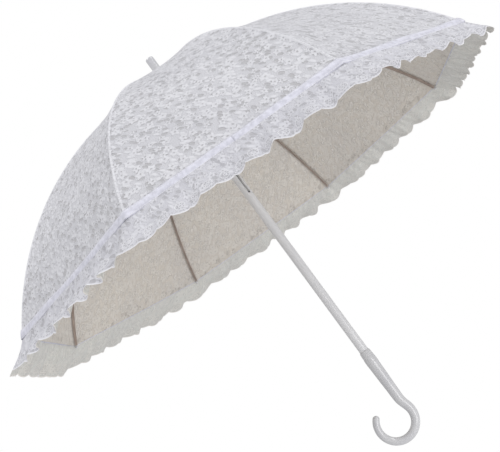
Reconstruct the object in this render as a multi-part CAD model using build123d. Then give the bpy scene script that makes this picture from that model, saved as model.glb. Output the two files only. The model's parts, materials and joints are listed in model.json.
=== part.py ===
from build123d import *
import os
from math import asin, atan2, cos, degrees, hypot, pi, radians, sin, sqrt, tan

# Lace parasol with a crook handle, open. Millimetres.
# The shaft lies along Z with the ferrule at the top. The origin is on the shaft's axis, in the
# straight grip. The hook curls in the XZ plane and its mouth faces -X.
# Each rib and all that belongs to it is modelled in the XZ plane, then turned about Z to its place.

os.makedirs("parts", exist_ok=True)

# ---------------------------------------------------------------- driving dimensions
RIBS = 8
RIB_STEP = 360 / RIBS
FIRST_RIB = RIB_STEP / 2  # azimuth of rib 1, degrees

HEM_R = 400.0  # canopy hem at a rib
HEM_Z = 330.0
APEX_Z = 564.0  # outside of the canopy on the axis
CLOTH_T = 0.5
GORE_GAP = 0.3  # between neighbouring canopy sections

TUBE_R = 7.0
TUBE_WALL = 1.1
TUBE_BOTTOM_Z = -12.0
FIT_GAP = 0.05  # pieces fixed on the tube
RUN_GAP = 0.09  # the runner, which slides

RIB_W = 2.6
RIB_DEPTH = 3.4
RIB_SHEET = 0.6
RIB_BELOW_CLOTH = 1.2
RIB_START_R = 19.5

WIRE_R = 0.6  # the ring wires that the ribs and stretchers hinge on
EYE_HOLE_R = 0.75
EYE_R = 1.5
TAB_T = 2.0
SLOT_W = TAB_T + 0.6
NOTCH_PIVOT_R = 11.0
NOTCH_PIVOT_Z = 560.0
NOTCH_R = 13.5
RUNNER_PIVOT_R = 13.0
RUNNER_PIVOT_Z = 416.0
CROWN_R = 15.0

JOINT_ANGLE = 27.0  # place of the rib's middle joint, from the apex, degrees of arc
PRONG_GAP = RIB_W + 0.6
PRONG_T = 0.7
STRETCHER_DEPTH = 3.4
FORK_LENGTH = 65.0  # how far the stretcher is open on both sides for the rib

RUNNER_BOTTOM_Z = 374.0
RUNNER_SLEEVE_R = 10.0
FOLD_ANGLE = 56.5  # how far a rib turns down, degrees

RUFFLE_DROP = 30.0
RUFFLE_FLARE = 38.0

GRIP_TOP_Z = 48.0
HOOK_CENTRE = (-23.5, -60.0)  # x, z
HOOK_R = 28.5
HOOK_END_ANGLE = 139.0  # direction of the hook's end from its centre, from +X, degrees

# ---------------------------------------------------------------- derived dimensions
DOME_R = (HEM_R**2 + (APEX_Z - HEM_Z) ** 2) / (2 * (APEX_Z - HEM_Z))
DOME_Z = APEX_Z - DOME_R  # centre of the ribs' arc
HEM_ANGLE = degrees(asin(HEM_R / DOME_R))
HALF_GORE = radians(RIB_STEP / 2)
RIB_TOP = DOME_R - CLOTH_T - RIB_BELOW_CLOTH
RIB_BOTTOM = RIB_TOP - RIB_DEPTH
JOINT_ARC_R = RIB_TOP - RIB_DEPTH / 2 - 0.2
JOINT = (JOINT_ARC_R * sin(radians(JOINT_ANGLE)), DOME_Z + JOINT_ARC_R * cos(radians(JOINT_ANGLE)))
STRETCHER_L = hypot(JOINT[0] - RUNNER_PIVOT_R, JOINT[1] - RUNNER_PIVOT_Z)
STRETCHER_ANGLE = degrees(atan2(JOINT[1] - RUNNER_PIVOT_Z, JOINT[0] - RUNNER_PIVOT_R))


def folded_joint():
    """The rib's middle joint (x, z) with the rib turned down by FOLD_ANGLE."""
    x = JOINT[0] - NOTCH_PIVOT_R
    z = JOINT[1] - NOTCH_PIVOT_Z
    a = radians(FOLD_ANGLE)
    return NOTCH_PIVOT_R + x * cos(a) + z * sin(a), NOTCH_PIVOT_Z - x * sin(a) + z * cos(a)


def folded_stretcher():
    """(runner travel, how far a stretcher turns) that bring its end to the folded joint."""
    x, z = folded_joint()
    across = x - RUNNER_PIVOT_R
    rise = sqrt(STRETCHER_L**2 - across**2)
    return RUNNER_PIVOT_Z - (z - rise), degrees(atan2(rise, across)) - STRETCHER_ANGLE


TRAVEL, STRETCHER_TURN = folded_stretcher()


# ---------------------------------------------------------------- helpers
def tube(r_out, r_in, z0, z1):
    """A round tube about Z from z0 to z1; r_in of 0 makes a rod."""
    body = Pos(0, 0, (z0 + z1) / 2) * Cylinder(r_out, z1 - z0)
    if r_in:
        body -= Pos(0, 0, (z0 + z1) / 2) * Cylinder(r_in, z1 - z0 + 1)
    return body


def turned(points):
    """A body turned about Z from its outline (r, z)."""
    return revolve(Plane.XZ * make_face(Polyline(*points, close=True)), Axis.Z)


def arc_rail(r0, r1, width, angle0, angle1):
    """A bar of rectangular section that follows the ribs' arc between two angles from the apex."""
    a = radians(angle0)
    section_plane = Plane(origin=(0, 0, DOME_Z), x_dir=(sin(a), 0, cos(a)), z_dir=(-cos(a), 0, sin(a)))
    section = section_plane * Pos((r0 + r1) / 2, 0) * Rectangle(r1 - r0, width)
    return revolve(section, Axis((0, 0, DOME_Z), (0, 1, 0)), angle1 - angle0)


def cross_pin(r, length, x, z):
    """A rod along Y, centred on the XZ plane."""
    return Pos(x, 0, z) * Rot(90, 0, 0) * Cylinder(r, length)


def link_bar(x0, z0, x1, z1, radius, thickness):
    """A flat bar with round ends between two points of the XZ plane."""
    length = hypot(x1 - x0, z1 - z0)
    tilt = degrees(atan2(z1 - z0, x1 - x0))
    outline = Plane.XZ * Pos((x0 + x1) / 2, (z0 + z1) / 2) * Rot(0, 0, tilt) * SlotOverall(
        length + 2 * radius, 2 * radius
    )
    return extrude(outline, thickness / 2, both=True)


def ring_wire(r, z):
    """A closed ring of wire about the shaft."""
    return Pos(0, 0, z) * Torus(r, WIRE_R)


def slotted(body, inner_r, outer_r, z0, z1):
    """The body with one radial slot for each rib, open outwards."""
    slot = Pos((inner_r + outer_r) / 2, 0, (z0 + z1) / 2) * Box(outer_r - inner_r, SLOT_W, z1 - z0)
    for n in range(RIBS):
        body -= Rot(0, 0, FIRST_RIB + n * RIB_STEP) * slot
    return body


def wire_groove(pivot_r, outer_r, z):
    """The groove that a ring wire lies in, open outwards."""
    return tube(outer_r, pivot_r - EYE_HOLE_R, z - EYE_HOLE_R, z + EYE_HOLE_R)


def save(name, shape):
    export_step(shape, f"parts/{name}.step")
    print(f"{name}: {shape.volume / 1000:.2f} cm3, {len(shape.solids())} solid(s)")


# ---------------------------------------------------------------- shaft
CAP_T = 1.3
CAP_R = 13.0
CAP_BOTTOM_Z = APEX_Z + 0.3
TUBE_TOP_Z = CAP_BOTTOM_Z + CAP_T
SPRING_W = 2.2
SPRING_SLOT_W = 3.0
SPRING_OUT_R = 9.2  # reach of a spring's catch
SPRING_IN_R = 4.4
TOP_CATCH_Z = RUNNER_BOTTOM_Z - 0.4
TOP_SPRING_L = 32.0
TOP_SPRING_AZIMUTH = -67.5
WINDOW_Z = (RUNNER_BOTTOM_Z + 6, RUNNER_BOTTOM_Z + 25)  # in the open runner's sleeve
BOTTOM_CATCH_Z = WINDOW_Z[0] - TRAVEL + 0.4
BOTTOM_SPRING_L = 20.0
BOTTOM_SPRING_AZIMUTH = 112.5
CROWN_TOP_Z = RUNNER_PIVOT_Z + 4
STOP_PIN_R = 1.1
STOP_PIN_Z = CROWN_TOP_Z + STOP_PIN_R + 1.0


def spring_slot(z0, z1, azimuth):
    """The slot in the tube's wall that a spring's catch stands out of."""
    return Rot(0, 0, azimuth) * Pos(TUBE_R, 0, (z0 + z1) / 2) * Box(4, SPRING_SLOT_W, z1 - z0)


def shaft_tube():
    body = tube(TUBE_R, TUBE_R - TUBE_WALL, TUBE_BOTTOM_Z, TUBE_TOP_Z)
    body -= spring_slot(TOP_CATCH_Z - TOP_SPRING_L - 3, TOP_CATCH_Z + 2, TOP_SPRING_AZIMUTH)
    body -= spring_slot(BOTTOM_CATCH_Z - 2, BOTTOM_CATCH_Z + BOTTOM_SPRING_L + 3, BOTTOM_SPRING_AZIMUTH)
    return body - cross_pin(STOP_PIN_R + FIT_GAP, 4 * TUBE_R, 0, STOP_PIN_Z)


def stop_pin():
    return cross_pin(STOP_PIN_R, 2 * TUBE_R + 3.4, 0, STOP_PIN_Z)


def ferrule_tip():
    """A turned tip: spigot inside the tube, base flange, straight pin and a dimpled round end."""
    z = TUBE_TOP_Z
    pin_r = 6.6
    top_z = 604.0
    dimple_r = 3.2
    outline = [
        (0, z - 18),
        (TUBE_R - TUBE_WALL - FIT_GAP, z - 18),
        (TUBE_R - TUBE_WALL - FIT_GAP, z),
        (8.4, z),
        (8.4, z + 2.2),
        (7.2, z + 4.0),
        (pin_r, z + 6.4),
        (pin_r, top_z - 2.2),
        (pin_r - 0.6, top_z - 0.8),
        (pin_r - 2.0, top_z),
        (dimple_r, top_z),
        (dimple_r - 0.8, top_z - 3),
        (0, top_z - 3.4),
    ]
    return turned(outline)


def canopy_cap():
    """The thin washer that covers the canopy's hole, domed at its edge."""
    r_in = TUBE_R + FIT_GAP
    outline = [
        (r_in, CAP_BOTTOM_Z),
        (CAP_R, CAP_BOTTOM_Z),
        (CAP_R - 0.4, CAP_BOTTOM_Z + 0.6),
        (CAP_R - 2.4, TUBE_TOP_Z),
        (r_in, TUBE_TOP_Z),
    ]
    return turned(outline)


def top_notch():
    """The ring that the ribs' eyes hang in."""
    z0, z1 = NOTCH_PIVOT_Z - 6, NOTCH_PIVOT_Z + 2.3
    body = tube(NOTCH_R, TUBE_R + FIT_GAP, z0, z1)
    body -= wire_groove(NOTCH_PIVOT_R, NOTCH_R + 1, NOTCH_PIVOT_Z)
    return slotted(body, NOTCH_PIVOT_R - EYE_R - 0.5, NOTCH_R + 1, z0 - 1, z1 + 1)


# ---------------------------------------------------------------- handle
def crook_handle():
    """Grip turned about the shaft, with the hook swept from its end, and a socket for the tube."""
    swan_z = -34.0
    grip_r = 7.6
    hook_radii = (grip_r, 6.9, 6.5, 5.9, 5.2)
    collar = [
        (0, swan_z),
        (grip_r, swan_z),
        (7.9, -20),
        (8.5, 0),
        (9.0, 22),
        (9.1, 35),
        (8.6, 41),
        (7.7, GRIP_TOP_Z - 0.6),
        (7.4, GRIP_TOP_Z),
        (0, GRIP_TOP_Z),
    ]
    outline = Line(collar[0], collar[1]) + Spline(*collar[1:8], tangents=((0.05, 1), (-0.6, 1)))
    outline += Polyline(*collar[7:], collar[0])
    grip = revolve(Plane.XZ * make_face(outline), Axis.Z)
    cx, cz = HOOK_CENTRE
    bend = Spline((0, 0, swan_z), (cx + HOOK_R, 0, cz), tangents=((0, 0, -1), (0, 0, -1)))
    end = radians(HOOK_END_ANGLE)
    curl = ThreePointArc(
        (cx + HOOK_R, 0, cz),
        (cx + HOOK_R * cos(radians(-115)), 0, cz + HOOK_R * sin(radians(-115))),
        (cx + HOOK_R * cos(end), 0, cz + HOOK_R * sin(end)),
    )
    path = Wire([bend.edge(), curl.edge()])
    stations = (0, 0.16, 0.35, 0.7, 1)
    sections = []
    for share, radius in zip(stations, hook_radii):
        plane = Plane(origin=path @ share, z_dir=path % share)
        sections.append(plane * Circle(radius))
    hook = sweep(sections, path, multisection=True)
    rounded_end = Pos(*(path @ 1)) * Sphere(hook_radii[-1])
    socket = tube(TUBE_R + FIT_GAP, 0, TUBE_BOTTOM_Z - 1, GRIP_TOP_Z + 1)
    return grip + hook + rounded_end - socket


# ---------------------------------------------------------------- runner and springs
def runner_sleeve():
    """The sliding sleeve: thumb rim, sleeve with a catch window, and the slotted crown."""
    outline = [
        (TUBE_R + RUN_GAP, RUNNER_BOTTOM_Z),
        (RUNNER_SLEEVE_R + 1.5, RUNNER_BOTTOM_Z),
        (RUNNER_SLEEVE_R + 1.5, RUNNER_BOTTOM_Z + 2),
        (RUNNER_SLEEVE_R, RUNNER_BOTTOM_Z + 4),
        (RUNNER_SLEEVE_R, RUNNER_PIVOT_Z - 9),
        (CROWN_R, RUNNER_PIVOT_Z - 5),
        (CROWN_R, CROWN_TOP_Z),
        (TUBE_R + RUN_GAP, CROWN_TOP_Z),
    ]
    body = turned(outline)
    body -= wire_groove(RUNNER_PIVOT_R, CROWN_R + 1, RUNNER_PIVOT_Z)
    body = slotted(body, RUNNER_PIVOT_R - EYE_R - 0.5, CROWN_R + 1, RUNNER_PIVOT_Z - 3, CROWN_TOP_Z + 1)
    z0, z1 = WINDOW_Z
    window = Pos(RUNNER_SLEEVE_R - 1.5, 0, (z0 + z1) / 2) * Box(5, SPRING_SLOT_W + 0.4, z1 - z0)
    return body - Rot(0, 0, BOTTOM_SPRING_AZIMUTH) * window


def catch_spring(catch_z, length, direction, azimuth):
    """A sprung blade whose flat catch is at catch_z and whose ramp runs up (+1) or down (-1)."""
    outline = [
        (SPRING_IN_R, catch_z),
        (SPRING_OUT_R, catch_z),
        (TUBE_R - 0.2, catch_z + direction * length),
        (SPRING_IN_R, catch_z + direction * length),
    ]
    blade = extrude(Plane.XZ * make_face(Polyline(*outline, close=True)), SPRING_W / 2, both=True)
    return Rot(0, 0, azimuth) * blade


# ---------------------------------------------------------------- one rib's pieces
def rib():
    """A channel of bent sheet, open below, with a flat eye at the notch."""
    start = degrees(asin(RIB_START_R / RIB_TOP))
    body = arc_rail(RIB_BOTTOM, RIB_TOP, RIB_W, start, HEM_ANGLE - 0.1)
    body -= arc_rail(RIB_BOTTOM - 1, RIB_TOP - RIB_SHEET, RIB_W - 2 * RIB_SHEET, start - 1, HEM_ANGLE + 1)
    inside_x = RIB_START_R + 8
    inside_z = DOME_Z + sqrt((RIB_TOP - RIB_DEPTH / 2) ** 2 - inside_x**2)
    body += link_bar(NOTCH_PIVOT_R, NOTCH_PIVOT_Z, inside_x, inside_z, EYE_R, TAB_T)
    body -= cross_pin(EYE_HOLE_R, 4, NOTCH_PIVOT_R, NOTCH_PIVOT_Z)
    return body - cross_pin(0.9, 2 * RIB_W, *JOINT)


def rib_tip():
    """The bead on the rib's end that the hem is sewn to."""
    bead_r = 2.1
    gap = 0.05
    a = radians(HEM_ANGLE)
    mid = RIB_TOP - RIB_DEPTH / 2
    ahead = bead_r + gap
    bead = Pos(mid * sin(a) + ahead * cos(a), 0, DOME_Z + mid * cos(a) - ahead * sin(a)) * Sphere(bead_r)
    return bead


def stretcher_frame():
    """Placing of a stretcher drawn along X from its runner eye."""
    return Pos(RUNNER_PIVOT_R, 0, RUNNER_PIVOT_Z) * Rot(0, -STRETCHER_ANGLE, 0)


def stretcher():
    """A channel, open above, whose far end is a fork that holds the rib between its prongs."""
    eye_l = 16.0
    body_start = 8.0
    body_l = STRETCHER_L - body_start
    width = PRONG_GAP + 2 * PRONG_T
    prong_r = STRETCHER_DEPTH / 2 + 0.1
    body = Pos(body_start + body_l / 2, 0, 0) * Box(body_l, width, STRETCHER_DEPTH)
    body += Pos(STRETCHER_L, 0, 0) * Rot(90, 0, 0) * Cylinder(prong_r, width)
    trough_l = STRETCHER_L - eye_l + 10
    body -= Pos(eye_l + trough_l / 2, 0, RIB_SHEET + 0.1) * Box(trough_l, PRONG_GAP, STRETCHER_DEPTH)
    fork_l = FORK_LENGTH + 10
    body -= Pos(STRETCHER_L - FORK_LENGTH + fork_l / 2, 0, 0) * Box(fork_l, PRONG_GAP, 3 * STRETCHER_DEPTH)
    body += link_bar(0, 0, eye_l - 1, 0, EYE_R, TAB_T)
    body -= cross_pin(EYE_HOLE_R, 4, 0, 0)
    body -= cross_pin(0.85, 2 * width, STRETCHER_L, 0)
    return stretcher_frame() * body


def joint_rivet():
    """The middle joint's rivet: a head and a stub in each prong, clear of the rib between them."""
    inner_y = PRONG_GAP / 2
    outer_y = inner_y + PRONG_T
    solids = []
    for side in (-1, 1):
        stub = Pos(0, side * (inner_y + outer_y) / 2, 0) * Rot(90, 0, 0) * Cylinder(0.8, PRONG_T)
        head = Pos(0, side * (outer_y + 0.3), 0) * Rot(90, 0, 0) * Cylinder(1.5, 0.6)
        solids.append(stub + head)
    return stretcher_frame() * Pos(STRETCHER_L, 0, 0) * Compound(solids)


def rib_wedge():
    """The space between a rib's plane and the middle of the gore beside it, gore centre on X."""
    far = 2 * HEM_R
    t = tan(HALF_GORE)
    corners = [(GORE_GAP / 2 / t, -GORE_GAP / 2), (far, -GORE_GAP / 2), (far, -far * t)]
    return Pos(0, 0, -100) * extrude(make_face(Polyline(*corners, close=True)), 1000)


def two_half_gores(profile):
    """Both half gores that belong to a rib: the profile, drawn in a gore's own XZ plane, runs
    straight across the gore, is cut off at the rib and at mid gore, and is mirrored at the rib."""
    across = extrude(Plane.XZ * profile, 2 * HEM_R * tan(HALF_GORE), both=True)
    half = Rot(0, 0, degrees(HALF_GORE)) * (across & rib_wedge())
    return half + mirror(half, Plane.XZ)


def canopy_section():
    """The canopy from mid gore to mid gore. Each gore is straight across and an arc at the ribs."""
    a = DOME_R * cos(HALF_GORE)
    shell = Pos(0, DOME_Z) * (Ellipse(a, DOME_R) - Ellipse(a - CLOTH_T, DOME_R - CLOTH_T))
    window = Pos(HEM_R, (HEM_Z + 1000) / 2) * Rectangle(2 * HEM_R, 1000 - HEM_Z)
    return two_half_gores(shell & window) - tube(TUBE_R + 0.6, 0, APEX_Z - 20, APEX_Z + 20)


def ruffle():
    """The gathered lace edging below the hem, as a plain skirt that flares outwards."""
    x = HEM_R * cos(HALF_GORE)
    outline = [
        (x - 0.8, HEM_Z),
        (x, HEM_Z),
        (x + 0.45 * RUFFLE_FLARE, HEM_Z - 0.5 * RUFFLE_DROP),
        (x + RUFFLE_FLARE, HEM_Z - RUFFLE_DROP),
        (x + RUFFLE_FLARE - 0.8, HEM_Z - RUFFLE_DROP),
        (x + 0.45 * RUFFLE_FLARE - 0.8, HEM_Z - 0.5 * RUFFLE_DROP),
    ]
    return two_half_gores(make_face(Polyline(*outline, close=True)))


# ---------------------------------------------------------------- write the pieces
FIXED = {
    "shaft_tube": shaft_tube(),
    "ferrule_tip": ferrule_tip(),
    "canopy_cap": canopy_cap(),
    "top_notch": top_notch(),
    "notch_wire": ring_wire(NOTCH_PIVOT_R, NOTCH_PIVOT_Z),
    "runner_stop_pin": stop_pin(),
    "crook_handle": crook_handle(),
    "runner_sleeve": runner_sleeve(),
    "runner_wire": ring_wire(RUNNER_PIVOT_R, RUNNER_PIVOT_Z),
    "top_spring": catch_spring(TOP_CATCH_Z, TOP_SPRING_L, -1, TOP_SPRING_AZIMUTH),
    "bottom_spring": catch_spring(BOTTOM_CATCH_Z, BOTTOM_SPRING_L, 1, BOTTOM_SPRING_AZIMUTH),
}
PER_RIB = {
    "rib": rib(),
    "rib_tip": rib_tip(),
    "stretcher": stretcher(),
    "joint_rivet": joint_rivet(),
    "canopy_section": canopy_section(),
    "ruffle": ruffle(),
}

for name, shape in FIXED.items():
    save(name, shape)
for name, shape in PER_RIB.items():
    for n in range(RIBS):
        save(f"{name}_{n + 1}", Rot(0, 0, FIRST_RIB + n * RIB_STEP) * shape)

print(f"rib arc {2 * pi * DOME_R * HEM_ANGLE / 360:.1f}, dome radius {DOME_R:.2f}, middle joint {JOINT}")
print(f"runner travel {TRAVEL:.3f}, rib turn {FOLD_ANGLE}, stretcher turn {STRETCHER_TURN:.4f}")
print(f"spring catches at z {TOP_CATCH_Z:.2f} and {BOTTOM_CATCH_Z:.2f}, tube top {TUBE_TOP_Z:.2f}")
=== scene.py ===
# %% [markdown]
# # A lace parasol with a crook handle
# This lesson finishes a parasol whose frame is already designed. The shaft, ribs, stretchers, runner
# and handle arrive as exact solids, and they stay as they are. The lace canopy, its hem tape and its
# gathered ruffle arrive only as plain stand-ins, so they are made here as real cloth, and every
# surface gets a finish of its own. All lengths are in metres.

# %% Load the fixed frame
import json
import math
import bmesh
import bpy
from mathutils import Matrix, Vector, noise


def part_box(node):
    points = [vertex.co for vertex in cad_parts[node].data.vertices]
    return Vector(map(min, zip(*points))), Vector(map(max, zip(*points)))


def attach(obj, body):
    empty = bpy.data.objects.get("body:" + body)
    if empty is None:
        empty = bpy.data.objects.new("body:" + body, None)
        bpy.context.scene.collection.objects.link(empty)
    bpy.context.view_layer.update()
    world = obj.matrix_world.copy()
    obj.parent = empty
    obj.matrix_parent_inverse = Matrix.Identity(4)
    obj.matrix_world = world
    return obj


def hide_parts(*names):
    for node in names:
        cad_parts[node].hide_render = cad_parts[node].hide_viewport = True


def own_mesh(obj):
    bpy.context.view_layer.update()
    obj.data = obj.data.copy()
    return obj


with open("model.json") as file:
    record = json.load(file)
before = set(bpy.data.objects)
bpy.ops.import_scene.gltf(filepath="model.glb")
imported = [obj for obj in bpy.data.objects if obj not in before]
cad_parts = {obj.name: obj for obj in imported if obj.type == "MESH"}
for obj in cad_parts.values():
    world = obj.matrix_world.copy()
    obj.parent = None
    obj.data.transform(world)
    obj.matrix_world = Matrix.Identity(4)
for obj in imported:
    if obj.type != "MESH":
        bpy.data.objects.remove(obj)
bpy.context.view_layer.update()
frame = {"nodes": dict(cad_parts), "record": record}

# %% [markdown]
# ## Where everything is
# Nothing is measured twice: the dome's radius, the hem and the ruffle's drop all come from the boxes of
# the frame's own canopy and ruffle solids. Rib 1 stands half a step from +X, so its canopy section
# reaches +X with its flat side, and one cosine turns that reach into the radius at the rib.

# %% Sizes taken from the frame
RIBS = 8
STEP = math.tau / RIBS
HALF_STEP = STEP / 2
section_low, section_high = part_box("canopy_section_1")
ruffle_low, ruffle_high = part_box("ruffle_1")
APEX_Z = section_high.z
HEM_Z = section_low.z
HEM_R = section_high.x / math.cos(HALF_STEP)
RISE = APEX_Z - HEM_Z
DOME_R = (HEM_R**2 + RISE**2) / (2 * RISE)
DOME_Z = APEX_Z - DOME_R
HEM_ANGLE = math.asin(HEM_R / DOME_R)
HOLE_R = 0.0078
RUFFLE_DROP = HEM_Z - ruffle_low.z
RUFFLE_FLARE = ruffle_high.x - section_high.x
SIDE = 2 * HEM_R * math.sin(HALF_STEP)
print(f"hem radius {HEM_R:.4f}, dome radius {DOME_R:.4f}, hem side {SIDE:.4f}, ruffle drop {RUFFLE_DROP:.4f}")


def rib_azimuth(n):
    """Direction of rib n, counted from 0, seen from above."""
    return HALF_STEP + n * STEP


# %% [markdown]
# ## Helpers for shader nodes
# A material is a small graph. Two helpers keep each graph readable: one adds a node with its settings
# and inputs, the other adds a Math node and hands back its result.

# %% Node helpers
def add(tree, kind, inputs=None, **settings):
    """A new node, its settings, and its inputs, each a value or another node's output."""
    made = tree.nodes.new(kind)
    for name, value in settings.items():
        setattr(made, name, value)
    for name, value in (inputs or {}).items():
        if isinstance(value, bpy.types.NodeSocket):
            tree.links.new(value, made.inputs[name])
        else:
            made.inputs[name].default_value = value
    return made


def maths(tree, operation, *values, clamp=False):
    """The result of a Math node."""
    made = add(tree, "ShaderNodeMath", dict(enumerate(values)), operation=operation, use_clamp=clamp)
    return made.outputs[0]


def fade(tree, value, start, end):
    """0 at start, 1 at end and smooth between them."""
    inputs = {"Value": value, "From Min": start, "From Max": end}
    return add(tree, "ShaderNodeMapRange", inputs, interpolation_type="SMOOTHSTEP").outputs["Result"]


def mix_colours(tree, share, first, second):
    """A blend of two colours."""
    made = tree.nodes.new("ShaderNodeMix")
    made.data_type = "RGBA"
    for index, value in ((0, share), (6, first), (7, second)):
        if isinstance(value, bpy.types.NodeSocket):
            tree.links.new(value, made.inputs[index])
        else:
            made.inputs[index].default_value = value
    return made.outputs[2]


def new_group(name, inputs, outputs):
    """An empty node group with its sockets: (tree, the group's own inputs, its output node)."""
    tree = bpy.data.node_groups.new(name, "ShaderNodeTree")
    for socket, kind, default in inputs:
        made = tree.interface.new_socket(socket, in_out="INPUT", socket_type=kind)
        if default is not None:
            made.default_value = default
    for socket, kind in outputs:
        tree.interface.new_socket(socket, in_out="OUTPUT", socket_type=kind)
    return tree, tree.nodes.new("NodeGroupInput").outputs, tree.nodes.new("NodeGroupOutput")


def new_material(name):
    """An empty material with a Principled BSDF: (material, its tree, the shader)."""
    material = bpy.data.materials.new(name)
    material.use_nodes = True
    tree = material.node_tree
    return material, tree, tree.nodes["Principled BSDF"]


# %% [markdown]
# ## The lace pattern
# Machine lace is a fine net with denser flowers and leaves worked into it, each outlined by a thicker
# cord. Drawing motifs one by one would take thousands of shapes. A Voronoi texture scatters cells at
# random instead: the distance and direction from each cell's centre draw a flower with five petals,
# and a second, stretched one draws leaves, half of them left open as the small slanting holes that
# give this lace its speckle. The pattern reads the cloth's own UV map in metres, so it follows the
# surface and keeps one scale everywhere.

# %% Node group: floral lace
PETALS = 5.0
LEAF_SLENDERNESS = 0.6
LEAF_SLANT = 0.5
NET_MESH = 0.0022
DRIFT = 0.007


def scaled(tree, vector, factor):
    """A vector multiplied by a number."""
    return add(tree, "ShaderNodeVectorMath", {0: vector, "Scale": factor}, operation="SCALE").outputs[0]


def cells(tree, place, randomness):
    """A flat Voronoi texture of cells about one unit wide."""
    inputs = {"Vector": place, "Scale": 1.0, "Randomness": randomness}
    return add(tree, "ShaderNodeTexVoronoi", inputs, voronoi_dimensions="2D").outputs


def band(tree, value, centre, half_width):
    """1 where the value is at the centre, fading to 0 at half_width from it."""
    away = maths(tree, "ABSOLUTE", maths(tree, "SUBTRACT", value, centre))
    return fade(tree, away, half_width, 0.0)


def worked_flowers(tree, place):
    """Five-petalled flowers, one in each cell: (filled shape, outline cord, open eye, ring)."""
    cell = cells(tree, place, 0.75)
    from_centre = add(tree, "ShaderNodeVectorMath", {0: place, 1: cell["Position"]}, operation="SUBTRACT")
    across = add(tree, "ShaderNodeSeparateXYZ", {0: from_centre.outputs[0]}).outputs
    chance = add(tree, "ShaderNodeSeparateColor", {0: cell["Color"]}).outputs
    turn = maths(tree, "MULTIPLY", chance["Red"], math.tau)
    angle = maths(tree, "ADD", maths(tree, "ARCTAN2", across["Y"], across["X"]), turn)
    petals = maths(tree, "COSINE", maths(tree, "MULTIPLY", angle, PETALS))
    size = maths(tree, "MULTIPLY_ADD", chance["Green"], 0.16, 0.24)
    beyond = maths(tree, "SUBTRACT", cell["Distance"], maths(tree, "MULTIPLY_ADD", petals, 0.09, size))
    eye = fade(tree, cell["Distance"], 0.1, 0.05)
    filled = fade(tree, beyond, 0.04, -0.04)
    return filled, band(tree, beyond, 0.0, 0.07), eye, band(tree, cell["Distance"], 0.13, 0.06)


def worked_leaves(tree, place, openness):
    """Slanting leaves: (filled, outline cord, open), the last two sharing the outline."""
    slant = {"Vector": place, "Angle": LEAF_SLANT}
    turned = add(tree, "ShaderNodeVectorRotate", slant, rotation_type="Z_AXIS")
    long = add(tree, "ShaderNodeVectorMath", {0: turned.outputs[0], 1: (0.5, 1.2, 1.0)}, operation="MULTIPLY")
    cell = cells(tree, long.outputs[0], 0.9)
    chance = add(tree, "ShaderNodeSeparateColor", {0: cell["Color"]}).outputs["Blue"]
    leaf = fade(tree, cell["Distance"], 0.42, 0.22)
    is_open = maths(tree, "LESS_THAN", chance, openness)
    filled = maths(tree, "MULTIPLY", leaf, maths(tree, "SUBTRACT", 1.0, is_open))
    return filled, band(tree, cell["Distance"], 0.38, 0.1), maths(tree, "MULTIPLY", leaf, is_open)


def lace_group():
    """Open: 1 in the holes. Worked: 1 on flowers and leaves. Relief: the lace's height."""
    inputs = [("Vector", "NodeSocketVector", None), ("Motif", "NodeSocketFloat", 0.02)]
    inputs += [("Leaf", "NodeSocketFloat", 0.012), ("Openness", "NodeSocketFloat", 0.5)]
    outputs = [(name, "NodeSocketFloat") for name in ("Open", "Worked", "Relief")]
    tree, given, result = new_group("Floral lace", inputs, outputs)
    wander = add(tree, "ShaderNodeTexNoise", {"Vector": given["Vector"], "Scale": 70.0, "Detail": 2.0})
    about_half = {0: wander.outputs["Color"], 1: (0.5, 0.5, 0.5)}
    centred = add(tree, "ShaderNodeVectorMath", about_half, operation="SUBTRACT")
    drift = scaled(tree, centred.outputs[0], DRIFT)
    place = add(tree, "ShaderNodeVectorMath", {0: given["Vector"], 1: drift}, operation="ADD").outputs[0]

    motif_place = scaled(tree, place, maths(tree, "DIVIDE", 1.0, given["Motif"]))
    flower, flower_cord, eye, ring = worked_flowers(tree, motif_place)
    longer = {0: place, 1: (1.0, LEAF_SLENDERNESS, 1.0)}
    slim = add(tree, "ShaderNodeVectorMath", longer, operation="MULTIPLY").outputs[0]
    leaf_place = scaled(tree, slim, maths(tree, "DIVIDE", 1.0, given["Leaf"]))
    leaf, leaf_cord, gap = worked_leaves(tree, leaf_place, given["Openness"])
    net = add(tree, "ShaderNodeTexVoronoi", {"Vector": scaled(tree, place, 1 / NET_MESH), "Scale": 1.0},
              voronoi_dimensions="2D", feature="DISTANCE_TO_EDGE")
    mesh = fade(tree, net.outputs["Distance"], 0.1, 0.3)

    clear = maths(tree, "SUBTRACT", 1.0, flower)
    hole = maths(tree, "MAXIMUM", maths(tree, "MULTIPLY", gap, clear), eye)
    worked = maths(tree, "MAXIMUM", flower, maths(tree, "MAXIMUM", leaf, leaf_cord))
    fine = maths(tree, "MULTIPLY", mesh, maths(tree, "SUBTRACT", 1.0, worked))
    tree.links.new(maths(tree, "MAXIMUM", hole, maths(tree, "MULTIPLY", fine, 0.4)), result.inputs["Open"])
    tree.links.new(worked, result.inputs["Worked"])
    cords = maths(tree, "MAXIMUM", flower_cord, maths(tree, "MAXIMUM", leaf_cord, ring))
    height = maths(tree, "MAXIMUM", cords, maths(tree, "MULTIPLY", worked, 0.55))
    height = maths(tree, "SUBTRACT", height, maths(tree, "MULTIPLY", hole, 0.8))
    height = maths(tree, "SUBTRACT", height, maths(tree, "MULTIPLY", fine, 0.2))
    tree.links.new(height, result.inputs["Relief"])
    return tree


FLORAL_LACE = lace_group()
print("node group:", FLORAL_LACE.name, len(FLORAL_LACE.nodes), "nodes")

# %% [markdown]
# ## The edging's own motifs
# The ruffle's free edge is worked as a row of scallops. Each has a rosette, a ring with petals round
# it, and a stout cord along the cut. The ruffle's UV map measures v upwards from the free edge, so
# the cord and the rosettes follow every scallop.

# %% Node group: rosettes and cord
EDGE_HOLE_PITCH = 0.004
ROSETTE_PETALS = 8.0


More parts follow.
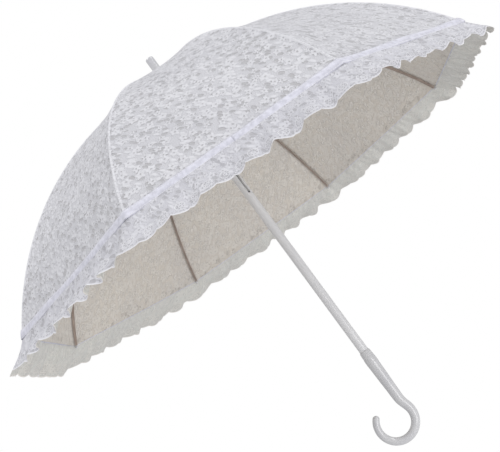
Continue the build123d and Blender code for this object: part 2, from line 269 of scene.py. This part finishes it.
def edging_group():
    """Open: the gaps in the rosettes. Relief: their cords and the cord along the edge."""
    inputs = [("Vector", "NodeSocketVector", None), ("Pitch", "NodeSocketFloat", 0.028)]
    outputs = [("Open", "NodeSocketFloat"), ("Relief", "NodeSocketFloat")]
    tree, given, result = new_group("Edging", inputs, outputs)
    flat = add(tree, "ShaderNodeSeparateXYZ", {0: given["Vector"]}).outputs
    half_pitch = maths(tree, "MULTIPLY", given["Pitch"], 0.5)
    sideways = maths(tree, "WRAP", flat["X"], half_pitch, maths(tree, "MULTIPLY", given["Pitch"], -0.5))
    upwards = maths(tree, "SUBTRACT", flat["Y"], maths(tree, "MULTIPLY", given["Pitch"], 0.52))
    across = maths(tree, "MULTIPLY", sideways, sideways)
    radius = maths(tree, "SQRT", maths(tree, "MULTIPLY_ADD", upwards, upwards, across))
    share = maths(tree, "DIVIDE", radius, given["Pitch"])
    around = maths(tree, "ARCTAN2", upwards, sideways)
    petals = maths(tree, "COSINE", maths(tree, "MULTIPLY", around, ROSETTE_PETALS))
    ring = band(tree, share, 0.27, 0.06)
    inner = band(tree, share, 0.09, 0.05)
    round_the_ring = maths(tree, "MULTIPLY", band(tree, share, 0.19, 0.06), fade(tree, petals, 0.0, 0.6))
    cord = fade(tree, flat["Y"], 0.0026, 0.0012)
    holes_inside = maths(tree, "MULTIPLY", band(tree, share, 0.18, 0.06), fade(tree, petals, 0.0, -0.6))
    along = maths(tree, "SINE", maths(tree, "MULTIPLY", flat["X"], math.tau / EDGE_HOLE_PITCH))
    edge_row = band(tree, flat["Y"], 0.0042, 0.0012)
    holes_at_edge = maths(tree, "MULTIPLY", edge_row, fade(tree, along, 0.0, 0.5))
    rings = maths(tree, "MAXIMUM", ring, inner)
    relief = maths(tree, "MAXIMUM", rings, maths(tree, "MAXIMUM", cord, round_the_ring))
    tree.links.new(maths(tree, "MAXIMUM", holes_inside, holes_at_edge), result.inputs["Open"])
    tree.links.new(relief, result.inputs["Relief"])
    return tree


EDGING = edging_group()
print("node group:", EDGING.name, len(EDGING.nodes), "nodes")

# %% [markdown]
# ## Soft unevenness
# Nothing that has been handled is one even colour. This group gives a slow, cloudy value for stains and
# shade and a fine grain for the surface itself, and each finish below uses them with its own sizes.

# %% Node group: clouds and grain
def unevenness_group():
    """Clouds: slow and soft. Grain: fine."""
    inputs = [("Vector", "NodeSocketVector", None)]
    inputs += [("Cloud", "NodeSocketFloat", 8.0), ("Grain", "NodeSocketFloat", 900.0)]
    outputs = [("Clouds", "NodeSocketFloat"), ("Grain", "NodeSocketFloat")]
    tree, given, result = new_group("Unevenness", inputs, outputs)
    soft = {"Vector": given["Vector"], "Scale": given["Cloud"], "Detail": 4.0}
    clouds = add(tree, "ShaderNodeTexNoise", soft)
    fine = {"Vector": given["Vector"], "Scale": given["Grain"], "Detail": 2.0}
    grain = add(tree, "ShaderNodeTexNoise", fine)
    tree.links.new(clouds.outputs["Fac"], result.inputs["Clouds"])
    tree.links.new(grain.outputs["Fac"], result.inputs["Grain"])
    return tree


UNEVENNESS = unevenness_group()


def unevenness(tree, vector, cloud, grain):
    """The group placed in a material, with its own sizes: (clouds, grain)."""
    made = add(tree, "ShaderNodeGroup", node_tree=UNEVENNESS)
    tree.links.new(vector, made.inputs["Vector"])
    made.inputs["Cloud"].default_value = cloud
    made.inputs["Grain"].default_value = grain
    return made.outputs["Clouds"], made.outputs["Grain"]


# %% [markdown]
# ## Lace as a material
# The canopy and the ruffle are the same kind of lace with motifs of different sizes. The outside is a
# cool bleached white, and its holes are painted darker, a painted shade for the shaded inside that
# shows through them. The reverse is painted warmer and brighter, standing in for the light that comes
# through the lace, and the Backfacing output picks the colour. Alpha opens the holes a little, and a
# Bump node raises the cords.

# %% Lace materials
CLOTH_UV = "cloth"
SEAM_UV = "seam"
SEAM_TAPE_W = 0.0042
LACE_SEE_THROUGH = 0.12
CORD_HEIGHT = 0.0009
WORKED_OUTSIDE = (0.84, 0.84, 0.88, 1.0)
# The reverse colours are painted light: warmer and brighter, standing in for light that comes through the
# lace.
WORKED_REVERSE = (0.82, 0.79, 0.75, 1.0)
GAP_REVERSE = (0.5, 0.47, 0.43, 1.0)
LACE_SHADE = (0.45, 0.45, 0.5, 1.0)


def seam_share(tree):
    """1 on the felled seam over a rib and 0 beside it; the seam map's u is the distance from it."""
    seam = add(tree, "ShaderNodeUVMap", uv_map=SEAM_UV).outputs["UV"]
    from_rib = add(tree, "ShaderNodeSeparateXYZ", {0: seam}).outputs["X"]
    return fade(tree, from_rib, 0.6 * SEAM_TAPE_W, 0.4 * SEAM_TAPE_W)


def lace_material(name, motif, leaf, openness, outside, gap_painted_shade, reverse, pitch=None):
    """Lace with motifs and leaves of these sizes. With a pitch it has the edging, without one a seam."""
    material, tree, shader = new_material(name)
    uv = add(tree, "ShaderNodeUVMap", uv_map=CLOTH_UV).outputs["UV"]
    lace = add(tree, "ShaderNodeGroup", node_tree=FLORAL_LACE)
    tree.links.new(uv, lace.inputs["Vector"])
    lace.inputs["Motif"].default_value = motif
    lace.inputs["Leaf"].default_value = leaf
    lace.inputs["Openness"].default_value = openness
    open_share, relief, bright = lace.outputs["Open"], lace.outputs["Relief"], lace.outputs["Worked"]
    if pitch:
        edging = add(tree, "ShaderNodeGroup", node_tree=EDGING)
        tree.links.new(uv, edging.inputs["Vector"])
        edging.inputs["Pitch"].default_value = pitch
        cords = edging.outputs["Relief"]
        without = maths(tree, "MULTIPLY", open_share, maths(tree, "SUBTRACT", 1.0, cords))
        open_share = maths(tree, "MAXIMUM", without, edging.outputs["Open"])
        relief = maths(tree, "MAXIMUM", relief, maths(tree, "MULTIPLY", cords, 1.4))
        bright = maths(tree, "MULTIPLY", bright, 0.8)
        bright = maths(tree, "MAXIMUM", bright, maths(tree, "MULTIPLY", cords, 1.9))
    else:
        seam = seam_share(tree)
        open_share = maths(tree, "MULTIPLY", open_share, maths(tree, "SUBTRACT", 1.0, seam))
        bright = maths(tree, "MAXIMUM", bright, maths(tree, "MULTIPLY", seam, 1.6))
    clouds, grain = unevenness(tree, uv, 9.0, 1400.0)
    white = mix_colours(tree, maths(tree, "MULTIPLY", bright, 0.45), outside, WORKED_OUTSIDE)
    # The holes are painted darker: painted shade for the shaded inside seen through them.
    front = mix_colours(tree, open_share, white, gap_painted_shade)
    # The reverse is painted light: a warmer, brighter colour for the light that comes through the lace.
    back = mix_colours(tree, maths(tree, "MULTIPLY", bright, 0.5), reverse, WORKED_REVERSE)
    back = mix_colours(tree, maths(tree, "MULTIPLY", open_share, 0.3), back, GAP_REVERSE)
    behind = add(tree, "ShaderNodeNewGeometry").outputs["Backfacing"]
    face = mix_colours(tree, behind, front, back)
    shade = maths(tree, "MULTIPLY", fade(tree, clouds, 0.35, 0.7), 0.14)
    tree.links.new(mix_colours(tree, shade, face, LACE_SHADE), shader.inputs["Base Color"])
    closed = maths(tree, "MULTIPLY_ADD", open_share, -LACE_SEE_THROUGH, 1.0, clamp=True)
    tree.links.new(closed, shader.inputs["Alpha"])
    height = maths(tree, "MULTIPLY_ADD", grain, 0.12, relief)
    bump = add(tree, "ShaderNodeBump", {"Height": height, "Strength": 0.7, "Distance": CORD_HEIGHT})
    tree.links.new(bump.outputs["Normal"], shader.inputs["Normal"])
    shader.inputs["Roughness"].default_value = 0.85
    shader.inputs["Sheen Weight"].default_value = 0.12
    shader.inputs["Specular IOR Level"].default_value = 0.2
    return material


SCALLOPS_A_SIDE = 15
FULLNESS = 1.15
SCALLOP_PITCH = SIDE * FULLNESS / SCALLOPS_A_SIDE
# The reverse colours given here are painted light for the inside, and the gap colours are painted shade in
# the holes.
CANOPY_LACE = lace_material(
    "canopy lace", motif=0.0155, leaf=0.006, openness=0.6, outside=(0.64, 0.64, 0.68, 1.0),
    gap_painted_shade=(0.52, 0.52, 0.55, 1.0), reverse=(0.72, 0.67, 0.61, 1.0))
RUFFLE_LACE = lace_material(
    "ruffle lace", motif=0.014, leaf=0.006, openness=0.6, outside=(0.64, 0.64, 0.69, 1.0),
    gap_painted_shade=(0.48, 0.48, 0.52, 1.0), reverse=(0.7, 0.7, 0.67, 1.0), pitch=SCALLOP_PITCH)
print("lace materials:", CANOPY_LACE.name, "and", RUFFLE_LACE.name)

# %% [markdown]
# ## The tape's material
# The hem tape is plain woven cotton: ribs across it, a row of stitches near each edge and no holes.
# Its UV map runs along the tape in u and across it in v, both in metres.

# %% Tape material
TAPE_W = 0.013
WEAVE_PITCH = 0.0008
STITCH_PITCH = 0.003
STITCH_ROW = 0.35 * TAPE_W
TAPE_DARK = (0.58, 0.58, 0.66, 1.0)
TAPE_LIGHT = (0.75, 0.75, 0.85, 1.0)
THREAD = (0.95, 0.95, 0.96, 1.0)


def tape_material():
    """Woven cotton tape with two rows of stitches."""
    material, tree, shader = new_material("hem tape")
    uv = add(tree, "ShaderNodeUVMap", uv_map=CLOTH_UV).outputs["UV"]
    parts = add(tree, "ShaderNodeSeparateXYZ", {0: uv})
    weave = maths(tree, "SINE", maths(tree, "MULTIPLY", parts.outputs["X"], math.tau / WEAVE_PITCH))
    from_middle = maths(tree, "ABSOLUTE", maths(tree, "SUBTRACT", parts.outputs["Y"], TAPE_W / 2))
    from_row = maths(tree, "ABSOLUTE", maths(tree, "SUBTRACT", from_middle, STITCH_ROW))
    row = fade(tree, from_row, 0.0006, 0.0002)
    along = maths(tree, "SINE", maths(tree, "MULTIPLY", parts.outputs["X"], math.tau / STITCH_PITCH))
    stitch = maths(tree, "GREATER_THAN", along, -0.35)
    thread = maths(tree, "MULTIPLY", row, stitch)
    clouds, grain = unevenness(tree, uv, 150.0, 1600.0)
    plain = mix_colours(tree, fade(tree, clouds, 0.3, 0.7), TAPE_DARK, TAPE_LIGHT)
    stitched = mix_colours(tree, maths(tree, "MULTIPLY", thread, 0.6), plain, THREAD)
    tree.links.new(stitched, shader.inputs["Base Color"])
    height = maths(tree, "MULTIPLY_ADD", weave, 0.1, maths(tree, "MULTIPLY_ADD", grain, 0.3, thread))
    bump = add(tree, "ShaderNodeBump", {"Height": height, "Strength": 0.5, "Distance": 0.0003})
    tree.links.new(bump.outputs["Normal"], shader.inputs["Normal"])
    shader.inputs["Roughness"].default_value = 0.8
    shader.inputs["Sheen Weight"].default_value = 0.2
    return material


TAPE = tape_material()
print("tape material:", TAPE.name)

# %% [markdown]
# ## Finishes of the hard pieces
# The shaft is enamelled steel tube, the handle and fittings are glossy moulded plastic, the ribs are
# folded steel strip under brown lacquer, and the wires, pins and springs are bare drawn steel. They
# read Object coordinates, which on these pieces are the frame's own, so a streak runs along the shaft.

# %% Hard materials
COAT_ROUGHNESS = 0.12


def hard_material(name, first, second, cloud, grain, roughness, bump_depth, metallic=0.0, coat=0.0,
                  stretch=(1.0, 1.0, 1.0)):
    """A finish whose colour clouds between two tones and whose gloss varies with its fine grain."""
    material, tree, shader = new_material(name)
    where = add(tree, "ShaderNodeTexCoord").outputs["Object"]
    where = add(tree, "ShaderNodeMapping", {"Vector": where, "Scale": stretch}).outputs[0]
    clouds, fine = unevenness(tree, where, cloud, grain)
    patches = fade(tree, clouds, 0.35, 0.7)
    tree.links.new(mix_colours(tree, patches, first, second), shader.inputs["Base Color"])
    low, high = roughness
    tree.links.new(maths(tree, "MULTIPLY_ADD", fine, high - low, low), shader.inputs["Roughness"])
    bump = add(tree, "ShaderNodeBump", {"Height": fine, "Strength": 0.4, "Distance": bump_depth})
    tree.links.new(bump.outputs["Normal"], shader.inputs["Normal"])
    shader.inputs["Metallic"].default_value = metallic
    shader.inputs["Coat Weight"].default_value = coat
    shader.inputs["Coat Roughness"].default_value = COAT_ROUGHNESS
    return material


ENAMEL = hard_material(
    "white enamel", (0.8, 0.8, 0.82, 1), (0.74, 0.74, 0.77, 1), cloud=14.0, grain=500.0,
    roughness=(0.2, 0.36), bump_depth=0.00008, coat=0.4, stretch=(1, 1, 0.3))
PLASTIC = hard_material(
    "glossy plastic", (0.67, 0.67, 0.69, 1), (0.62, 0.62, 0.65, 1), cloud=30.0, grain=350.0,
    roughness=(0.14, 0.26), bump_depth=0.00003, coat=0.6)
LACQUER = hard_material(
    "dark lacquer", (0.43, 0.35, 0.31, 1), (0.54, 0.45, 0.4, 1), cloud=60.0, grain=700.0,
    roughness=(0.4, 0.6), bump_depth=0.0001)
STEEL = hard_material(
    "drawn steel", (0.55, 0.55, 0.56, 1), (0.42, 0.42, 0.43, 1), cloud=120.0, grain=1500.0,
    roughness=(0.25, 0.45), bump_depth=0.00005, metallic=1.0)

FINISH_OF_SLOT = {
    "white_enamel": ENAMEL,
    "white_plastic": PLASTIC,
    "dark_steel": LACQUER,
    "spring_steel": STEEL,
}
finished = 0
for part in frame["record"]["subparts"]:
    finish = FINISH_OF_SLOT.get(part["material_slot"])
    if finish is None:
        continue
    piece = frame["nodes"][part["node"]]
    piece.data.materials.clear()
    piece.data.materials.append(finish)
    finished += 1
print("hard pieces finished:", finished)

# %% [markdown]
# ## Making cloth from a flat grid
# Each sheet of cloth starts as a flat grid, like the cut cloth on a table. One function says where a
# point of the flat cloth hangs in space and another where it lies on the cut, and the second becomes
# the UV map. That keeps the lace at its true scale however the cloth is folded. The faces are turned
# to look outwards, away from the shaft's axis.

# %% Cloth helper
def cloth_piece(name, columns, rows, hang, maps, material):
    """A sheet of columns by rows faces. hang(x, y) is the place of a point. maps gives, for each UV
    map, a function (x, y, side) of the same point. x runs from -1 to 1 across, y from 0 to 1 down,
    and side is -1 or 1 of the middle."""
    bm = bmesh.new()
    bmesh.ops.create_grid(bm, x_segments=columns, y_segments=rows, size=1.0)
    for map_name, lay_flat in maps.items():
        uv = bm.loops.layers.uv.new(map_name)
        for face in bm.faces:
            face.smooth = True
            side = 1 if face.calc_center_median().x > 0 else -1
            for loop in face.loops:
                x, y = loop.vert.co.x, (1 - loop.vert.co.y) / 2
                loop[uv].uv = lay_flat(x, y, side)
    for vert in bm.verts:
        vert.co = hang(vert.co.x, (1 - vert.co.y) / 2)
    bm.normal_update()
    outwards = sum(face.normal.xy.dot(face.calc_center_median().xy) for face in bm.faces)
    if outwards < 0:
        bmesh.ops.reverse_faces(bm, faces=bm.faces)
    mesh = bpy.data.meshes.new(name)
    bm.to_mesh(mesh)
    bm.free()
    mesh.materials.append(material)
    piece = bpy.data.objects.new(name, mesh)
    bpy.context.scene.collection.objects.link(piece)
    return piece


# %% [markdown]
# ## How a gore lies
# A gore is one of the eight panels. It is an arc along the ribs and straight across between them, and
# stretched cloth also draws in a little at the middle of the panel. The seam at each rib is felled,
# two folded layers that stand up as a thin ridge, and the sewing puckers the lace beside it.

# %% The canopy's surface
GORE_SAG = 0.004
SEAM_RISE = 0.0011
SEAM_HALF_W = 0.0017
PUCKER_RISE = 0.0006
PUCKER_PITCH = 0.013
PUCKER_REACH = 0.011
RIPPLE_RISE = 0.0022
RIPPLES_PER_METRE = 14.0
PATTERN_SHIFT = (0.37, 0.53)


def gore_point(n, across, angle, lift=0.0):
    """A point of the canopy on rib n's section. across is 0 at the rib and -1 or 1 at mid gore;
    angle is measured from the apex, and lift raises the point off the surface."""
    d = DOME_R * math.sin(angle)
    t = abs(across)
    half_chord = d * math.sin(HALF_STEP)
    from_rib = t * half_chord
    seam = SEAM_RISE * math.exp(-((from_rib / SEAM_HALF_W) ** 2))
    pucker = math.sin(math.tau * DOME_R * angle / PUCKER_PITCH + n) * math.exp(-from_rib / PUCKER_REACH)
    pucker *= PUCKER_RISE * min(1.0, from_rib / 0.003)
    sag = GORE_SAG * (1 - (1 - t) ** 2) * math.sin(math.pi * min(1.0, 0.85 * angle / HEM_ANGLE))
    outwards = d * (1 - t * math.sin(HALF_STEP) ** 2)
    sideways = d * across * math.sin(HALF_STEP) * math.cos(HALF_STEP)
    local = Vector((outwards, sideways, DOME_Z + DOME_R * math.cos(angle)))
    world = Matrix.Rotation(rib_azimuth(n), 3, "Z") @ local
    gore_azimuth = rib_azimuth(n) + math.copysign(HALF_STEP, across)
    flat = math.sin(angle)
    facing = Vector((math.cos(gore_azimuth) * flat, math.sin(gore_azimuth) * flat, math.cos(angle)))
    ripple = RIPPLE_RISE * noise.noise(world * RIPPLES_PER_METRE)
    ripple *= (1 - (1 - t) ** 3) * min(1.0, d / 0.12)
    return world + facing * (lift + seam + pucker + ripple - sag)


def gore_number(n, side):
    """The gore on that side of rib n; gore n lies between ribs n and n + 1."""
    return (n if side > 0 else n - 1) % RIBS


def gore_flat(n, across, angle, side):
    """Place on the flat cut, from the gore's own centre line, so that each gore shows its own piece
    of the pattern and the pattern runs on over the middle of the gore."""
    from_middle = -side * (1 - abs(across)) * DOME_R * math.sin(angle) * math.sin(HALF_STEP)
    gore = gore_number(n, side)
    shift_u, shift_v = PATTERN_SHIFT
    return from_middle + shift_u * gore, -DOME_R * angle + shift_v * gore


# %% [markdown]
# ## The eight canopy sections
# The frame folds, and each rib carries the cloth beside it, so the canopy is kept as eight sections
# cut along the middle of the gores. They share the same surface and pattern there, so no joint shows.
# The columns crowd towards the rib, where the seam needs them.

# %% Canopy sections
SECTION_COLUMNS = 56
SECTION_ROWS = 190
CROWDING = 2.2
HOLE_ANGLE = math.asin(HOLE_R / DOME_R)


def crowd(x):
    """Columns nearer to the rib at x = 0."""
    return math.copysign(abs(x) ** CROWDING, x)


def fold_with_rib(piece, n):
    """The piece rides on rib n."""
    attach(piece, f"rib_{n + 1}")
    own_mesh(piece)


def section_angle(y):
    """Angle from the apex, from the hole at y = 0 to the hem at y = 1."""
    return HOLE_ANGLE + y * (HEM_ANGLE - HOLE_ANGLE)


def canopy_section(n):
    """The canopy cloth on rib n."""
    def hang(x, y):
        return gore_point(n, crowd(x), section_angle(y))

    def lay_flat(x, y, side):
        return gore_flat(n, crowd(x), section_angle(y), side)

    def from_seam(x, y, side):
        angle = section_angle(y)
        return abs(crowd(x)) * DOME_R * math.sin(angle) * math.sin(HALF_STEP), DOME_R * angle

    maps = {CLOTH_UV: lay_flat, SEAM_UV: from_seam}
    piece = cloth_piece(f"lace_section_{n + 1}", SECTION_COLUMNS, SECTION_ROWS, hang, maps, CANOPY_LACE)
    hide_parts(f"canopy_section_{n + 1}")
    return piece


sections = [canopy_section(n) for n in range(RIBS)]
print("canopy sections:", len(sections), "with", len(sections[0].data.polygons), "faces each")

# %% [markdown]
# ## The hem tape
# A straight tape covers the join between the canopy and the ruffle. It is a strip laid on the canopy's
# surface just above the hem, thick enough to show its edge, with the small puckers of its sewing.

# %% Hem tape
TAPE_LIFT = 0.0011
TAPE_T = 0.0006
TAPE_BELOW = 0.0015
TAPE_PUFF = 0.0009
CREASE_RISE = 0.00035
CREASE_PITCH = 0.0065
TAPE_COLUMNS = 160
TAPE_ROWS = 6


def hem_tape(n):
    """The length of hem tape on rib n."""
    def angle_at(y):
        return HEM_ANGLE + (TAPE_BELOW - (1 - y) * TAPE_W) / DOME_R

    def hang(x, y):
        along = x * SIDE / 2
        uneven = 2.0 * math.sin(along * 31 + n)
        crease = CREASE_RISE * math.sin(along * math.tau / CREASE_PITCH + uneven) * math.sin(math.pi * y)
        puff = TAPE_PUFF * math.sin(math.pi * y)
        return gore_point(n, x, angle_at(y), TAPE_LIFT + puff + crease)

    def lay_flat(x, y, side):
        return x * SIDE / 2 + n * SIDE, y * TAPE_W

    piece = cloth_piece(f"hem_tape_{n + 1}", TAPE_COLUMNS, TAPE_ROWS, hang, {CLOTH_UV: lay_flat}, TAPE)
    thickness = piece.modifiers.new("thickness", "SOLIDIFY")
    thickness.thickness = TAPE_T
    thickness.offset = 0.0
    return piece


tapes = [hem_tape(n) for n in range(RIBS)]
print("hem tape lengths:", len(tapes))

# %% [markdown]
# ## The ruffle
# A ruffle is a strip longer than the hem, gathered into it. A full one is half as long again or more.
# This one is 15 % longer, so its folds are shallow. At the top the cloth is held in tiny pleats. Lower
# down they open into uneven folds. The strip stands out from the hem, so a fold moves along the
# strip's own normal: its crests rise and its hollows hang. The crests lean a little towards -X, the
# free edge is pulled the same way, and the ruffle hangs lower at the front than at the back. A
# simulation would find folds like these, but a formula that goes once round the whole hem is
# repeatable and lets the eight lengths meet exactly.

# %% The ruffle's surface
FOLDS = 54
FOLD_REACH = 0.0048
FOLD_LEAN = 0.002
GATHER_RISE = 0.0009
SCALLOP_DEPTH = 0.0042
CORNER_SHARE = 0.16
UNEVEN_DROP = 0.24
SIDE_PULL = 0.006
RUFFLE_LIFT = 0.0008
RUFFLE_TILT = math.atan2(RUFFLE_FLARE, RUFFLE_DROP)
RUFFLE_DEPTH = math.hypot(RUFFLE_FLARE, RUFFLE_DROP)


def hem_frame(p):
    """At p sides round the hem, with a rib at each whole number: (place, outward direction)."""
    gore = math.floor(p)
    share = p - gore
    azimuths = (rib_azimuth(gore), rib_azimuth(gore + 1))
    start, end = (Vector((math.cos(azimuth), math.sin(azimuth))) * HEM_R for azimuth in azimuths)
    place = start.lerp(end, share)
    to_corner = min(share, 1 - share) / CORNER_SHARE
    bend = 0.5 * (1 - to_corner) ** 2 if to_corner < 1 else 0.0
    facing = rib_azimuth(gore) + HALF_STEP + (STEP * bend if share > 0.5 else -STEP * bend)
    return place, Vector((math.cos(facing), math.sin(facing)))


def scallop(p):
    """How much shorter the cut edge is at p, from 0 at a scallop's middle."""
    return SCALLOP_DEPTH * (1 - abs(math.cos(math.pi * SCALLOPS_A_SIDE * p)) ** 0.6)


def ruffle_point(p, down):
    """A point of the ruffle p sides round the hem; down is 0 at the tape and 1 at the scallops."""
    place, out = hem_frame(p)
    turn = math.tau * p / RIBS
    phase = FOLDS * turn + 1.3 * math.sin(5 * turn + 0.7)
    phase += 1.0 * math.sin(11 * turn + 2.0) + 0.6 * math.sin(23 * turn)
    vigour = 0.9 + 0.25 * math.sin(7 * turn + 1.3) + 0.2 * math.sin(17 * turn + 0.4)
    opened = down**0.9
    tilt = RUFFLE_TILT * (0.75 + 0.25 * math.sin(0.5 * math.pi * down)) + UNEVEN_DROP * out.y
    length = (RUFFLE_DEPTH - scallop(p)) * down
    pull = SIDE_PULL * down**2 * (1 + 0.9 * max(0.0, out.x))
    fold = FOLD_REACH * vigour * opened * math.cos(phase)
    gathers = GATHER_RISE * math.cos(3.0 * phase) * (1 - down) * min(1.0, 8 * down)
    outwards = RUFFLE_LIFT + length * math.sin(tilt) + (fold + gathers) * math.cos(tilt)
    drop = length * math.cos(tilt) - (fold + gathers) * math.sin(tilt)
    lean = -FOLD_LEAN * vigour * opened * math.cos(phase + 0.6)
    xy = place + out * outwards
    return Vector((xy.x + lean - pull, xy.y, HEM_Z - drop))


# %% [markdown]
# ## The ruffle's eight lengths
# Each length follows the hem from mid gore to mid gore, so it folds with the same rib as the canopy
# above it. The rows are close enough to keep the scallops' outline clean.

# %% Ruffle lengths
RUFFLE_COLUMNS = 192
RUFFLE_ROWS = 20


def ruffle_length(n):
    """The length of ruffle on rib n."""
    def hang(x, y):
        return ruffle_point(n + x / 2, y)

    def lay_flat(x, y, side):
        p = n + x / 2
        return p * SIDE * FULLNESS, (1 - y) * (RUFFLE_DEPTH - scallop(p))

    maps = {CLOTH_UV: lay_flat}
    piece = cloth_piece(f"lace_ruffle_{n + 1}", RUFFLE_COLUMNS, RUFFLE_ROWS, hang, maps, RUFFLE_LACE)
    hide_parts(f"ruffle_{n + 1}")
    return piece


ruffles = [ruffle_length(n) for n in range(RIBS)]
for n in range(RIBS):
    for piece in (sections[n], tapes[n], ruffles[n]):
        fold_with_rib(piece, n)
print("ruffle lengths:", len(ruffles), "with", len(ruffles[0].data.polygons), "faces each")

# %% [markdown]
# ## Floor and light
# The parasol is held in the air, so the floor lies well below it. The light is an even surround with
# three large soft lamps: a key from the right and above, one high on the left, and a fill low in front.

# %% Floor, world and lamps
FLOOR_Z = -1.3
FLOOR_SIZE = 3.0


def floor():
    """The pale floor."""
    bm = bmesh.new()
    bmesh.ops.create_grid(bm, x_segments=8, y_segments=8, size=FLOOR_SIZE)
    bmesh.ops.translate(bm, vec=(0, 0, FLOOR_Z), verts=bm.verts)
    mesh = bpy.data.meshes.new("floor")
    bm.to_mesh(mesh)
    bm.free()
    material, tree, shader = new_material("floor")
    where = add(tree, "ShaderNodeTexCoord").outputs["Object"]
    clouds, grain = unevenness(tree, where, 0.8, 60.0)
    pale = mix_colours(tree, clouds, (0.88, 0.88, 0.88, 1), (0.92, 0.92, 0.92, 1))
    tree.links.new(pale, shader.inputs["Base Color"])
    shader.inputs["Roughness"].default_value = 0.9
    mesh.materials.append(material)
    made = bpy.data.objects.new("floor", mesh)
    bpy.context.scene.collection.objects.link(made)


def lamp(name, place, aim, size, power):
    """A soft square lamp at a place, turned to its aim."""
    data = bpy.data.lights.new(name, "AREA")
    data.size = size
    data.energy = power
    made = bpy.data.objects.new(name, data)
    made.location = place
    made.rotation_euler = (Vector(aim) - Vector(place)).to_track_quat("-Z", "Y").to_euler()
    bpy.context.scene.collection.objects.link(made)


SURROUND = 0.56
BACKDROP = 1.0

world = bpy.data.worlds.new("studio")
world.use_nodes = True
backdrop = world.node_tree.nodes["Background"]
seen = add(world.node_tree, "ShaderNodeLightPath").outputs["Is Camera Ray"]
strength = maths(world.node_tree, "MULTIPLY_ADD", seen, BACKDROP - SURROUND, SURROUND)
world.node_tree.links.new(strength, backdrop.inputs["Strength"])
backdrop.inputs["Color"].default_value = (1.0, 1.0, 1.0, 1.0)
bpy.context.scene.world = world
bpy.context.scene.view_settings.view_transform = "Standard"
floor()
MIDDLE = (0.0, 0.0, HEM_Z)
lamp("key", (2.3, -1.5, 2.2), MIDDLE, size=1.2, power=25.0)
lamp("top", (-1.5, -0.9, 2.8), MIDDLE, size=1.4, power=32.0)
lamp("fill", (1.5, -2.5, -0.6), MIDDLE, size=1.6, power=24.0)
print("lamps and world ready")

# %% [markdown]
# ## The camera
# The camera looks slightly up from below the hem, so that the near outside and the far inside of the
# canopy both show, and it is rolled so that the shaft leans up to the left. Its direction is built
# from three angles, and a long lens keeps the perspective gentle.

# %% Camera
CAMERA_AZIMUTH = math.radians(2.6)
CAMERA_ELEVATION = math.radians(-8.8)
CAMERA_ROLL = math.radians(-36.2)
CAMERA_DISTANCE = 1.5
CAMERA_AIM = Vector((-0.0268, 0.0, 0.2975))
LENS = 71.8


def camera():
    """The camera, turned to its aim and rolled."""
    flat = math.cos(CAMERA_ELEVATION)
    sideways, forwards = math.sin(CAMERA_AZIMUTH) * flat, math.cos(CAMERA_AZIMUTH) * flat
    look = Vector((sideways, forwards, -math.sin(CAMERA_ELEVATION)))
    right = look.cross(Vector((0, 0, 1))).normalized()
    up = right.cross(look)
    rolled_right = right * math.cos(CAMERA_ROLL) + up * math.sin(CAMERA_ROLL)
    rolled_up = up * math.cos(CAMERA_ROLL) - right * math.sin(CAMERA_ROLL)
    data = bpy.data.cameras.new("camera")
    data.lens = LENS
    made = bpy.data.objects.new("camera", data)
    place = CAMERA_AIM - look * CAMERA_DISTANCE
    axes = Matrix((rolled_right, rolled_up, -look)).transposed().to_4x4()
    made.matrix_world = Matrix.Translation(place) @ axes
    bpy.context.scene.collection.objects.link(made)
    bpy.context.scene.camera = made


camera()
